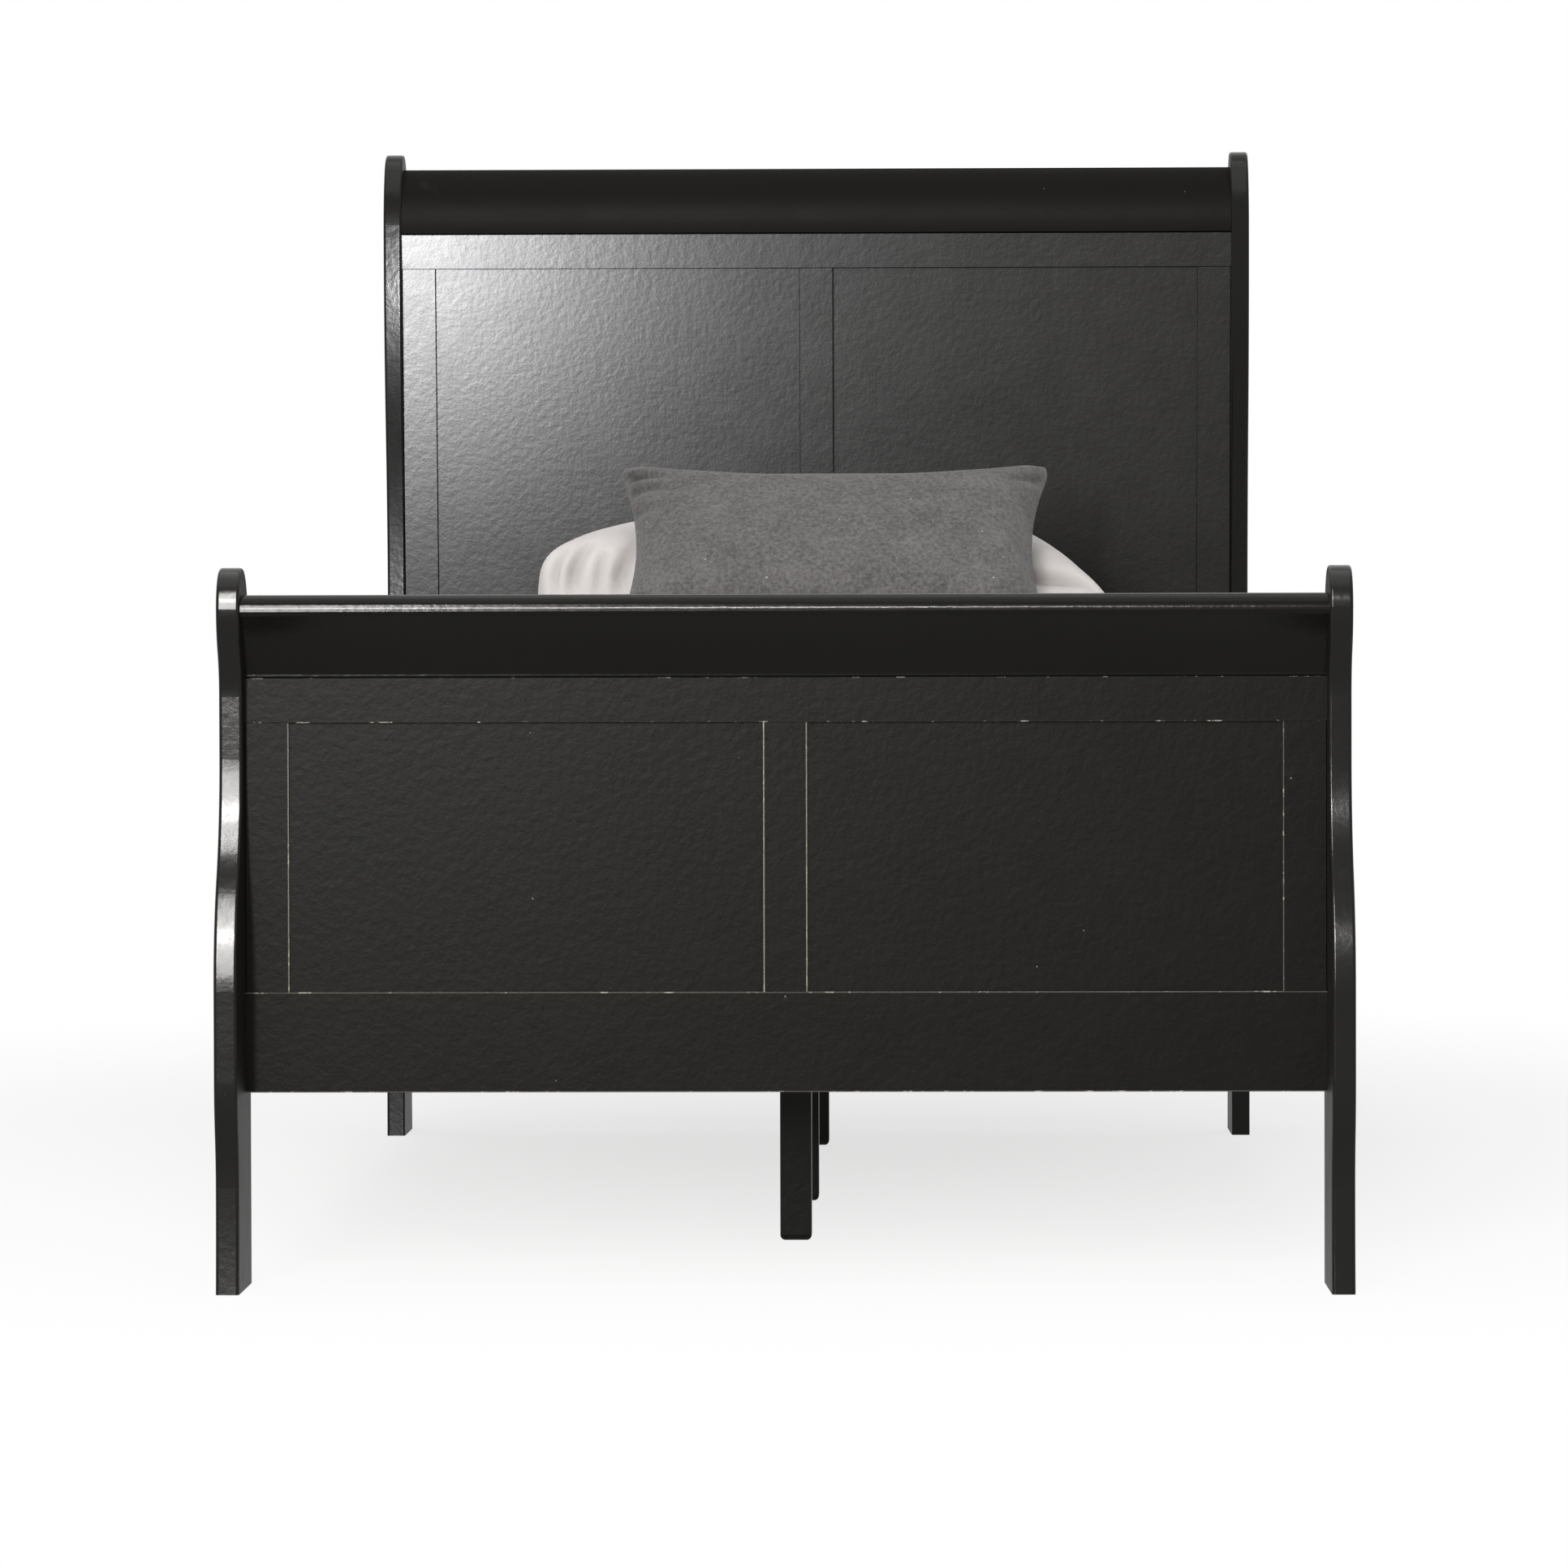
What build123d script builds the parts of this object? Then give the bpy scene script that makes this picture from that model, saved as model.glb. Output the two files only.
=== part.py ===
from build123d import *
from dataclasses import dataclass
import os

# Twin sleigh bed, millimetres. X runs across the bed, -Y is the foot end, Z is up.
# The origin is on the floor, half-way between the two boards.

# Main sizes
WIDTH = 1067.0
RAIL_LENGTH = 1915.0
FOOT_HEIGHT = 682.0
HEAD_HEIGHT = 1215.7
STOCK = 22.0
EASE = 3.0
FIT = 0.15

# Scrolled posts: a board cut on two S curves, wider at the leg and at the ear.
# Points are (outward from the leg's bed-side edge, height above the floor), where an edge
# stands upright; straight runs and reverse curves join them.
HEEL = (124, 0)
LEG_EDGE = [(120, 100), (133, 200)]
FOOT_OUTER_EDGE = LEG_EDGE + [(133, 285), (71, 501), (71, 560)]
HEAD_OUTER_EDGE = LEG_EDGE + [(133, 330), (70, 1070), (70, 1095)]
FOOT_BED_EDGE = [(0, 0)]
HEAD_BED_EDGE = [(-8.8, 1110), (38, 630), (38, 590), (0, 370), (0, 0)]
# The ear: a round nose on the outside, half an egg on the bed side
EAR_NOSE = 39.4
EAR_BACK_DEPTH = 58.0
EAR_BACK_HEIGHT = 90.0
EAR_BACK_ROUND = 45.0
FOOT_EAR_AT = 0.0
HEAD_EAR_AT = -8.8

# Framed boards between the posts
FRAME_THICKNESS = 20.0
CREST_HEIGHT = 78.0
TOP_RAIL_HEIGHT = 43.0
STILE_WIDTH = 41.5
PANEL_THICKNESS = 8.0
GROOVE_DEPTH = 9.0
TONGUE = 8.0
TENON_LENGTH = 12.0
TENON_THICKNESS = 10.0
TENON_SHOULDER = 8.0
ARRIS = 0.8

# Crest rail section: (outward from the frame's outer face, above the rail's seat)
CREST_LIP = (-22, 0)
CREST_BACK = [(-22, 5), (-9, 50), (28, CREST_HEIGHT)]
CREST_NOSE = [(28, CREST_HEIGHT), (39.3, 73.3), (44, 62)]
CREST_COVE = [(42, 58), (15, 27), (1.5, 3)]
CREST_TENON = (-4, 8, 20, 48)  # outward from, to, above the seat from, to

# Side rails and their hook joints
RAIL_HEIGHT = 160.0
RAIL_BOTTOM = 185.0
PLATE_THICKNESS = 3.0
PLATE_HEIGHT = 96.0
PLATE_INSET = 34.0
HOOK_REACH = 16.0
HOOK_DEPTH = 16.0
HOOK_NOTCH = (3.0, 11.0, 9.0)  # from, to, and how far the lip hangs
HOOK_SPACING = 56.0
HOOK_DROP = 10.0
PIN_RADIUS = 3.0
PIN_LENGTH = 17.0
SLOT_WIDTH = 5.0
SLOT_DEPTH = 19.0

# Slats, their ledgers and the centre legs
LEDGER_WIDTH = 22.0
LEDGER_HEIGHT = 32.0
LEDGER_TOP = 221.0
LEDGER_GAP = 15.0
SLAT_THICKNESS = 19.0
SLAT_WIDTH = 90.0
SLAT_END_GAP = 3.0
SLAT_PLACES = [-830.0, -491.0, -3.0, 401.0, 809.0]
LEGGED_SLATS = [1, 2, 4]
LEG_SIDE = 32.0
LEG_ROUND = 6.0
LEG_BOLT = dict(shank=4.0, head=8.0, length=62.0)
SLAT_SCREW = dict(shank=2.2, head=4.5, length=38.0)
LEDGER_SCREW = dict(shank=2.2, head=4.5, length=38.0)
LEDGER_SCREW_PLACES = [-900.0, -660.0, -247.0, 200.0, 605.0, 900.0]
LEDGER_SCREW_DROP = 20.0

# Bedding
REST_GAP = 0.4
PAD_WIDTH = 970.0
PAD_LENGTH = 1894.0
PAD_CORNER = 70.0
FOUNDATION_HEIGHT = 130.0
MATTRESS_HEIGHT = 229.0
WHITE_PILLOW = dict(width=690.0, depth=450.0, thickness=170.0, pull=22.0)
WHITE_PILLOW_X = 10.0
WHITE_PILLOW_BACK = 6.0
GREY_PILLOW = dict(width=512.0, depth=336.0, thickness=120.0, pull=15.0)
GREY_PILLOW_X = 28.0
GREY_PILLOW_Y = 436.0
GREY_PILLOW_LEAN = 39.0

# Worked out from the sizes above
INSIDE = WIDTH - 2 * STOCK
FOOT_LEG_Y = -RAIL_LENGTH / 2
HEAD_LEG_Y = RAIL_LENGTH / 2
RAIL_MID_Z = RAIL_BOTTOM + RAIL_HEIGHT / 2
POST_MID_X = (WIDTH - STOCK) / 2
SLAT_TOP = LEDGER_TOP + SLAT_THICKNESS
SIDES = {"left": -1, "right": 1}


@dataclass
class SleighBoard:
    """Headboard or footboard; outward is the way its scroll turns along Y."""

    name: str
    outward: int
    leg_y: float
    height: float
    outer_edge: list
    bed_edge: list
    ear_at: float
    seat_z: float
    face: float
    lean: float
    panel_height: float
    bottom_rail_height: float
    panel_middle: float

    def corner(self, side):
        """Where a post meets its side rail, with Y turned outward."""
        return Pos(POST_MID_X * side, self.leg_y, 0) * Rot(0, 0, 0 if self.outward > 0 else 180)

    def frame(self, solid):
        """Set a piece of the framed board, drawn about the crest rail's seat, in place."""
        seat = Pos(0, self.leg_y + self.outward * self.face, self.seat_z)
        return seat * Rot(self.lean, 0, 0) * solid

    def block(self, x_low, x_high, out_low, out_high, low, high):
        """A straight piece given by its limits across, outward and up from the seat."""
        middle = self.outward * (out_low + out_high) / 2
        place = Pos((x_low + x_high) / 2, middle, (low + high) / 2)
        return place * Box(x_high - x_low, out_high - out_low, high - low)


FOOTBOARD = SleighBoard(
    name="footboard", outward=-1, leg_y=FOOT_LEG_Y, height=FOOT_HEIGHT,
    outer_edge=FOOT_OUTER_EDGE, bed_edge=FOOT_BED_EDGE, ear_at=FOOT_EAR_AT,
    seat_z=578.0, face=48.0, lean=0.0,
    panel_height=255.0, bottom_rail_height=95.0, panel_middle=-8.0)
HEADBOARD = SleighBoard(
    name="headboard", outward=1, leg_y=HEAD_LEG_Y, height=HEAD_HEIGHT,
    outer_edge=HEAD_OUTER_EDGE, bed_edge=HEAD_BED_EDGE, ear_at=HEAD_EAR_AT,
    seat_z=1116.0, face=17.0, lean=5.5,
    panel_height=673.0, bottom_rail_height=95.0, panel_middle=-12.0)


def upright_edge(points):
    """Straight runs and reverse curves through points where the edge stands upright."""
    runs = []
    for start, end in zip(points, points[1:]):
        if start[0] == end[0]:
            runs.append(Line(start, end))
            continue
        upright = Vector(0, end[1] - start[1])
        middle = ((start[0] + end[0]) / 2, (start[1] + end[1]) / 2)
        runs.append(TangentArc(start, middle, tangent=upright))
        runs.append(TangentArc(middle, end, tangent=-upright, tangent_from_first=False))
    return runs


def ear_back(top, side):
    """Two tangent arcs from the top of the ear round to its upright bed side."""
    depth, height, tight = top[0] - side[0], top[1] - side[1], EAR_BACK_ROUND
    wide = (depth ** 2 + height ** 2 - 2 * height * tight) / (2 * (depth - tight))
    tight_centre = Vector(top[0], top[1] - tight)
    wide_centre = Vector(side[0] + wide, side[1])
    join = tight_centre + (tight_centre - wide_centre).normalized() * tight
    return [TangentArc(top, join, tangent=(-1, 0)),
            TangentArc(join, side, tangent=(0, 1), tangent_from_first=False)]


def post_outline(board):
    """Side view of a post: outer edge from the heel up, the ear, and down the bed side."""
    ear_x = board.ear_at + EAR_BACK_DEPTH
    nose_z = board.height - EAR_NOSE
    outer = board.outer_edge + [(ear_x + EAR_NOSE, nose_z)]
    bed_side = [(board.ear_at, board.height - EAR_BACK_HEIGHT)] + board.bed_edge
    heel = TangentArc(HEEL, outer[0], tangent=(0, -1), tangent_from_first=False)
    nose = CenterArc((ear_x, nose_z), EAR_NOSE, 0, 90)
    back = ear_back((ear_x, board.height), bed_side[0])
    foot = Line(bed_side[-1], HEEL)
    return make_face([heel, *upright_edge(outer), nose, *back, *upright_edge(bed_side), foot])


def post(board, side):
    """Scrolled post with mortises for the rails and a slot and pin holes for the hooks."""
    solid = extrude(Plane.YZ * post_outline(board), STOCK / 2, both=True)
    profile_edges = solid.edges().filter_by(Axis.X, reverse=True)
    solid = fillet(profile_edges.filter_by(lambda edge: edge.bounding_box().max.Z > EASE), EASE)
    solid = board.corner(side) * solid
    for tenon in tenons(board, FIT):
        solid -= tenon
    return solid - hook_slot(board, side) - hook_pins(board, side, FIT / 2)


def tenons(board, clearance):
    """The stub tenons of the board's three rails, as bars right through from post to post."""
    reach = INSIDE / 2 + TENON_LENGTH + clearance
    middle = -FRAME_THICKNESS / 2
    half = TENON_THICKNESS / 2 + clearance
    bars = []
    for low, high in rail_levels(board):
        shoulder = TENON_SHOULDER - clearance
        bars.append(board.block(-reach, reach, middle - half, middle + half, low + shoulder, high - shoulder))
    out_low, out_high, low, high = CREST_TENON
    bars.append(board.block(-reach, reach, out_low - clearance, out_high + clearance,
                            low - clearance, high + clearance))
    return [board.frame(bar) for bar in bars]


def rail_levels(board):
    """Lower and upper level of the top rail and the bottom rail, from the crest's seat."""
    panel_bottom = -TOP_RAIL_HEIGHT - board.panel_height
    return [(-TOP_RAIL_HEIGHT, 0), (panel_bottom - board.bottom_rail_height, panel_bottom)]


def groove(board, x_low, x_high, low, high):
    """The groove that a panel edge or a stile's tongue sits in."""
    half = PANEL_THICKNESS / 2 + FIT
    return board.block(x_low, x_high, board.panel_middle - half, board.panel_middle + half, low, high)


def frame_rails(board):
    """Top and bottom rail, grooved on the side that faces the panels."""
    (top_low, top_high), (bottom_low, bottom_high) = rail_levels(board)
    half = INSIDE / 2
    top, bottom = [board.block(-half, half, -FRAME_THICKNESS, 0, low, high)
                   for low, high in rail_levels(board)]
    top = chamfer(top.edges().filter_by(Axis.X), ARRIS)
    bottom = chamfer(bottom.edges().filter_by(Axis.X), ARRIS)
    top -= groove(board, -half, half, top_low, top_low + GROOVE_DEPTH)
    bottom -= groove(board, -half, half, bottom_high - GROOVE_DEPTH, bottom_high)
    top_tenon, bottom_tenon = tenons(board, 0)[:2]
    inner = board.frame(board.block(-half, half, -FRAME_THICKNESS, 0, bottom_low, top_high))
    return {
        f"{board.name}_top_rail": board.frame(top) + (top_tenon - inner),
        f"{board.name}_bottom_rail": board.frame(bottom) + (bottom_tenon - inner),
    }


def crest_rail(board):
    """Crest rail: a rounded back, a bullnose and a cove, with a stub tenon at each end."""
    def at(point):
        return (board.outward * point[0], point[1])

    back, nose, cove = [[at(p) for p in run] for run in (CREST_BACK, CREST_NOSE, CREST_COVE)]
    section = make_face([
        Line(at(CREST_LIP), back[0]),
        ThreePointArc(*back),
        ThreePointArc(*nose),
        Line(nose[-1], cove[0]),
        ThreePointArc(*cove),
        Line(cove[-1], (cove[-1][0], 0)),
        Line((cove[-1][0], 0), at(CREST_LIP)),
    ])
    body = Pos(-INSIDE / 2, 0, 0) * extrude(Plane.YZ * section, INSIDE)
    return board.frame(body) + tenons(board, 0)[2]


def stile(board, x_middle, grooved_sides):
    """Upright between the rails, with a tongue at each end and grooves for the panels."""
    high = -TOP_RAIL_HEIGHT
    low = high - board.panel_height
    half = STILE_WIDTH / 2
    body = board.block(x_middle - half, x_middle + half, -FRAME_THICKNESS, 0, low, high)
    body = chamfer(body.edges().filter_by(Axis.Z), ARRIS)
    half_tongue = PANEL_THICKNESS / 2
    tongue = board.block(x_middle - half, x_middle + half, board.panel_middle - half_tongue,
                         board.panel_middle + half_tongue, low - TONGUE, high + TONGUE)
    body += tongue
    for side in grooved_sides:
        edge = x_middle + side * half
        inner = edge - side * GROOVE_DEPTH
        body -= groove(board, min(edge, inner), max(edge, inner), low - TONGUE, high + TONGUE)
    return board.frame(body)


def panel(board, side):
    """Flat panel, held by its edges in the grooves round it."""
    high = -TOP_RAIL_HEIGHT + TONGUE
    low = -TOP_RAIL_HEIGHT - board.panel_height - TONGUE
    near = STILE_WIDTH / 2 - TONGUE
    far = INSIDE / 2 - STILE_WIDTH + TONGUE
    half = PANEL_THICKNESS / 2
    ends = sorted([side * near, side * far])
    return board.frame(board.block(*ends, board.panel_middle - half, board.panel_middle + half, low, high))


def sleigh_board(board):
    """All the pieces of one board, by node name."""
    outer_stile_x = INSIDE / 2 - STILE_WIDTH / 2
    pieces = frame_rails(board)
    pieces[f"{board.name}_crest_rail"] = crest_rail(board)
    pieces[f"{board.name}_centre_stile"] = stile(board, 0, [-1, 1])
    for word, side in SIDES.items():
        pieces[f"{board.name}_post_{word}"] = post(board, side)
        pieces[f"{board.name}_stile_{word}"] = stile(board, side * outer_stile_x, [-side])
        pieces[f"{board.name}_panel_{word}"] = panel(board, side)
    return pieces


def hook_levels():
    """Heights of the undersides of a plate's two hooks."""
    return [RAIL_MID_Z - HOOK_SPACING / 2, RAIL_MID_Z + HOOK_SPACING / 2]


def hook_plate(board, side):
    """Steel plate let into a rail's end, with two hooks that drop over pins in the post."""
    notch_near, notch_far, lip = HOOK_NOTCH
    plate = Pos(-PLATE_INSET / 2, RAIL_MID_Z) * Rectangle(PLATE_INSET, PLATE_HEIGHT)
    for level in hook_levels():
        arm = Pos(HOOK_REACH / 2, level + (HOOK_DEPTH - lip) / 2) * Rectangle(HOOK_REACH, HOOK_DEPTH + lip)
        arm = fillet(arm.vertices().sort_by(Axis.X)[-2:], HOOK_REACH - notch_far - 1)
        gap = Pos((notch_near + notch_far) / 2, level - lip / 2) * Rectangle(notch_far - notch_near, lip)
        plate += arm - gap
    return board.corner(side) * extrude(Plane.YZ * plate, PLATE_THICKNESS / 2, both=True)


def hook_slot(board, side):
    """Slot in the post's bed-side edge, long enough for the hooks to drop in."""
    low = hook_levels()[0] - HOOK_NOTCH[2] - HOOK_DROP
    high = hook_levels()[1] + HOOK_DEPTH + HOOK_DROP
    slot = Box(SLOT_WIDTH, 2 * SLOT_DEPTH, high - low)
    return Pos(POST_MID_X * side, board.leg_y, (low + high) / 2) * slot


def hook_pins(board, side, clearance):
    """The two steel pins across a post's slot, driven in from the post's inner face."""
    reach = (HOOK_NOTCH[0] + HOOK_NOTCH[1]) / 2
    inner_face = side * INSIDE / 2
    y = board.leg_y + board.outward * reach
    depth = PIN_LENGTH + 2 * clearance
    pin = Rot(0, 90, 0) * Cylinder(PIN_RADIUS + clearance, depth)
    x = inner_face + side * depth / 2
    return Compound([Pos(x, y, level - PIN_RADIUS - FIT) * pin for level in hook_levels()])


def side_rail(side):
    """Side rail with eased edges and a kerf in each end for its hook plate."""
    body = Pos(POST_MID_X * side, 0, RAIL_MID_Z) * Box(STOCK, RAIL_LENGTH, RAIL_HEIGHT)
    body = fillet(body.edges().filter_by(Axis.Y), EASE)
    kerf = Box(PLATE_THICKNESS + 2 * FIT, 2 * (PLATE_INSET + FIT), PLATE_HEIGHT + 2 * FIT)
    for end in (FOOT_LEG_Y, HEAD_LEG_Y):
        body -= Pos(POST_MID_X * side, end, RAIL_MID_Z) * kerf
    return body - screws(ledger_screw_places(side), LEDGER_SCREW, FIT)


def ledger(side):
    """Strip inside a side rail that carries the slats."""
    length = RAIL_LENGTH - 2 * LEDGER_GAP
    x = side * (INSIDE - LEDGER_WIDTH) / 2
    body = Pos(x, 0, LEDGER_TOP - LEDGER_HEIGHT / 2) * Box(LEDGER_WIDTH, length, LEDGER_HEIGHT)
    body = chamfer(body.edges().filter_by(Axis.Y), ARRIS)
    body -= screws(ledger_screw_places(side), LEDGER_SCREW, FIT)
    return body - screws(slat_screw_places(), SLAT_SCREW, FIT)


def slat(number):
    """Cross slat, screwed to both ledgers; some are bored for a centre leg's bolt."""
    place = Pos(0, SLAT_PLACES[number], LEDGER_TOP + SLAT_THICKNESS / 2)
    body = place * Box(INSIDE - 2 * SLAT_END_GAP, SLAT_WIDTH, SLAT_THICKNESS)
    body = chamfer(body.edges().filter_by(Axis.X), ARRIS)
    body -= screws(slat_screw_places(), SLAT_SCREW, FIT)
    return body - screws(leg_bolt_places(), LEG_BOLT, FIT)


def support_leg(number):
    """Square centre leg under a slat, rounded at its foot."""
    place = Pos(0, SLAT_PLACES[number], LEDGER_TOP / 2)
    body = place * Box(LEG_SIDE, LEG_SIDE, LEDGER_TOP)
    body = fillet(body.edges().group_by(Axis.Z)[0], LEG_ROUND)
    return body - screws(leg_bolt_places(), LEG_BOLT, FIT)


def screws(places, kind, clearance):
    """Countersunk screws with their heads flush, at the given places, or the holes for them."""
    shank, head = kind["shank"] + clearance, kind["head"] + clearance
    tip = -kind["length"] - clearance
    half_section = make_face(Polyline((0, 0), (head, 0), (shank, shank - head), (shank, tip), (0, tip), (0, 0)))
    screw = revolve(Plane.XZ * half_section, Axis.Z)
    return Compound([place * screw for place in places])


def slat_screw_places():
    """One screw down through each end of each slat."""
    x = (INSIDE - LEDGER_WIDTH) / 2
    return [Pos(side * x, y, SLAT_TOP) for y in SLAT_PLACES for side in SIDES.values()]


def ledger_screw_places(side):
    """Screws through a ledger into its side rail, heads on the ledger's inner face."""
    x = side * (INSIDE / 2 - LEDGER_WIDTH)
    z = LEDGER_TOP - LEDGER_SCREW_DROP
    return [Pos(x, y, z) * Rot(0, -90 * side, 0) for y in LEDGER_SCREW_PLACES]


def leg_bolt_places():
    """One bolt down through each legged slat into its leg."""
    return [Pos(0, SLAT_PLACES[number], SLAT_TOP) for number in LEGGED_SLATS]


def pad(bottom, height, levels):
    """Bed-sized pad lofted through rounded rectangles: levels are (share of height, inset)."""
    sections = []
    for share, inset in levels:
        outline = RectangleRounded(PAD_WIDTH - 2 * inset, PAD_LENGTH - 2 * inset, PAD_CORNER - inset / 2)
        sections.append(Pos(0, 0, bottom + share * height) * outline)
    return loft(sections, ruled=True)


def pillow(width, depth, thickness, pull):
    """Pillow lofted across its width: crowned in the middle, drawn in between its corners."""
    edge = thickness * 0.06
    sections = []
    for share in (-1.0, -0.9, -0.68, -0.36, 0.0, 0.36, 0.68, 0.9, 1.0):
        crown = edge + (thickness / 2 - edge) * (1 - abs(share) ** 2.6)
        half = depth / 2 - pull * (1 - share ** 2)
        upper = ThreePointArc((-half, edge), (0, crown + edge * 0.4), (half, edge))
        lower = ThreePointArc((half, -edge), (0, -crown - edge * 0.4), (-half, -edge))
        outline = make_face([upper, Line(upper @ 1, lower @ 0), lower, Line(lower @ 1, upper @ 0)])
        sections.append(Plane.YZ.offset(share * width / 2) * outline)
    return loft(sections)


def bedding():
    """Foundation, mattress and the two pillows, each resting on the one below."""
    foundation_bottom = SLAT_TOP + REST_GAP
    mattress_bottom = foundation_bottom + FOUNDATION_HEIGHT + REST_GAP
    mattress_top = mattress_bottom + MATTRESS_HEIGHT
    white = pillow(**WHITE_PILLOW)
    white_y = PAD_LENGTH / 2 - WHITE_PILLOW_BACK - WHITE_PILLOW["depth"] / 2
    white_z = mattress_top + REST_GAP - white.bounding_box().min.Z
    grey = Rot(GREY_PILLOW_LEAN, 0, 0) * pillow(**GREY_PILLOW)
    grey_z = mattress_top + REST_GAP - grey.bounding_box().min.Z
    return {
        "foundation": pad(foundation_bottom, FOUNDATION_HEIGHT, [(0, 5), (0.1, 0), (0.88, 0), (1, 7)]),
        "mattress": pad(mattress_bottom, MATTRESS_HEIGHT,
                        [(0, 26), (0.04, 8), (0.16, 1), (0.5, 0), (0.8, 2), (0.93, 10), (0.975, 30), (1, 90)]),
        "white_pillow": Pos(WHITE_PILLOW_X, white_y, white_z) * white,
        "grey_pillow": Pos(GREY_PILLOW_X, GREY_PILLOW_Y, grey_z) * grey,
    }


def bed():
    """Every piece of the bed, by node name."""
    pieces = {**sleigh_board(FOOTBOARD), **sleigh_board(HEADBOARD)}
    corners = [(board, side) for board in (FOOTBOARD, HEADBOARD) for side in SIDES.values()]
    pieces["rail_hook_plates"] = Compound([hook_plate(board, side) for board, side in corners])
    pieces["rail_hook_pins"] = Compound([pin for board, side in corners
                                         for pin in hook_pins(board, side, 0).solids()])
    for word, side in SIDES.items():
        pieces[f"side_rail_{word}"] = side_rail(side)
        pieces[f"slat_ledger_{word}"] = ledger(side)
    ledger_places = ledger_screw_places(-1) + ledger_screw_places(1)
    pieces["ledger_screws"] = screws(ledger_places, LEDGER_SCREW, 0)
    pieces["slat_screws"] = screws(slat_screw_places(), SLAT_SCREW, 0)
    pieces["support_leg_bolts"] = screws(leg_bolt_places(), LEG_BOLT, 0)
    for number in range(len(SLAT_PLACES)):
        pieces[f"slat_{number + 1}"] = slat(number)
    for count, number in enumerate(LEGGED_SLATS, 1):
        pieces[f"support_leg_{count}"] = support_leg(number)
    return {**pieces, **bedding()}


os.makedirs("parts", exist_ok=True)
for node, solid in bed().items():
    export_step(solid, f"parts/{node}.step")
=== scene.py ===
"""A black sleigh bed dressed for its photograph: lacquer, timber, steel, bedding, light and camera."""
import math

import bmesh
import bpy
import numpy as np
from mathutils import Matrix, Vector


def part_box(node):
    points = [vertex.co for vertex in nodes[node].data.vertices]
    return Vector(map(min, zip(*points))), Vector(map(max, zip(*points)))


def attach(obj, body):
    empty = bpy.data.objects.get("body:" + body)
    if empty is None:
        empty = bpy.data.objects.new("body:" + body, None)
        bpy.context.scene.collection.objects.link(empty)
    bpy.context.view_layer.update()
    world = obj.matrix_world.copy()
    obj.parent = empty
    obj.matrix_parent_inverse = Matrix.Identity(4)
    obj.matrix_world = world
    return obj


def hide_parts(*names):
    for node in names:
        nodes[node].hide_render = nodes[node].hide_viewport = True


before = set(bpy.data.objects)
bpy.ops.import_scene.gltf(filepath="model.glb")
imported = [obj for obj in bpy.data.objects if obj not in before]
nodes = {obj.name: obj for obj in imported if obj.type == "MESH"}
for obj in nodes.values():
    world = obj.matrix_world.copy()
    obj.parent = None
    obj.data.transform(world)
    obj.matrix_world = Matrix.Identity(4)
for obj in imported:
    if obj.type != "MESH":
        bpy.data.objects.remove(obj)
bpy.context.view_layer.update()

# Camera, solved from the feet and ears of both boards (metres, degrees, millimetres of lens).
CAMERA_AT = (0.1289, -7.3902, 0.6122)
CAMERA_YAW = 1.1655
CAMERA_PITCH = -1.2171
CAMERA_ROLL = 0.1429
CAMERA_LENS = 155.157

# The headboard leans over the bed; the footboard stands upright (degrees).
HEADBOARD_LEAN = 5.5

# Lacquer: gloss is what roughness leaves of 1; depths, widths and heights in metres.
FLAT_GLOSS = 0.66
POST_GLOSS = 0.80
POST_SIDE_GLOSS = 0.50
FLAT_PEEL = 0.0003
ROUND_PEEL = 0.00018
WORN_WIDTH = 0.0012
EASED_EDGE = (0.0001, 0.0012)
CREST_JOINT = 0.0016
OFF_THE_PIECE = 0.1

# Bedding sizes that the frame doesn't give (metres, degrees), and the points along and across a pad's sheets and up
# its border.
PAD_GRID = (221, 121)
BORDER_ROWS = 25
PAD_CORNER = 0.070
PIPING = 0.0045
CORD_SIDES = 10
QUILT_ACROSS = 0.145
QUILT_ALONG = 0.190
QUILT_PUFF = 0.009
GREY_PILLOW_SLOPE = 39.0
WHITE_PILLOW_SEAM = 0.663
WHITE_PILLOW_MIDDLE = 0.0140
PRESSED = 0.02

# Settling of the pillows: the cut's size over the formed one, the filling's share of the formed volume, the steps, the
# share of a move that counts in each direction, and the furthest move (metres).
SLACK = 1.03
FILLING = 0.97
SETTLING_FRAMES = 10
SETTLING_SHARE = (0.25, 0.25, 1.0)
SETTLING_REACH = 0.004

# A crease this deep is fully shaded (metres).
CREASE_DEPTH = 0.011

# Creases of the pillows' upper sheets: start, end, depth and width, in the flat case's measure (metres).
WHITE_CREASES = (
    ((-0.318, -0.222), (-0.296, -0.192), 0.010, 0.007),
    ((-0.292, -0.222), (-0.268, -0.182), 0.013, 0.007),
    ((-0.262, -0.222), (-0.250, -0.198), 0.008, 0.006),
    ((-0.238, -0.222), (-0.210, -0.172), 0.014, 0.008),
    ((-0.336, -0.170), (-0.262, -0.110), 0.008, 0.009),
    ((-0.336, -0.080), (-0.250, -0.050), 0.006, 0.011),
    ((-0.336, 0.090), (-0.240, 0.060), 0.007, 0.012),
    ((0.222, -0.200), (0.338, -0.208), 0.024, 0.008),
    ((0.336, -0.160), (0.230, -0.100), 0.006, 0.011),
    ((0.215, -0.222), (0.205, -0.160), 0.006, 0.008),
    ((0.336, 0.190), (0.220, 0.110), 0.009, 0.012),
    ((-0.300, 0.222), (-0.210, 0.130), 0.009, 0.012),
    ((0.080, 0.222), (0.060, 0.140), 0.006, 0.011),
    ((-0.120, 0.222), (-0.100, 0.160), 0.006, 0.011),
)
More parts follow.
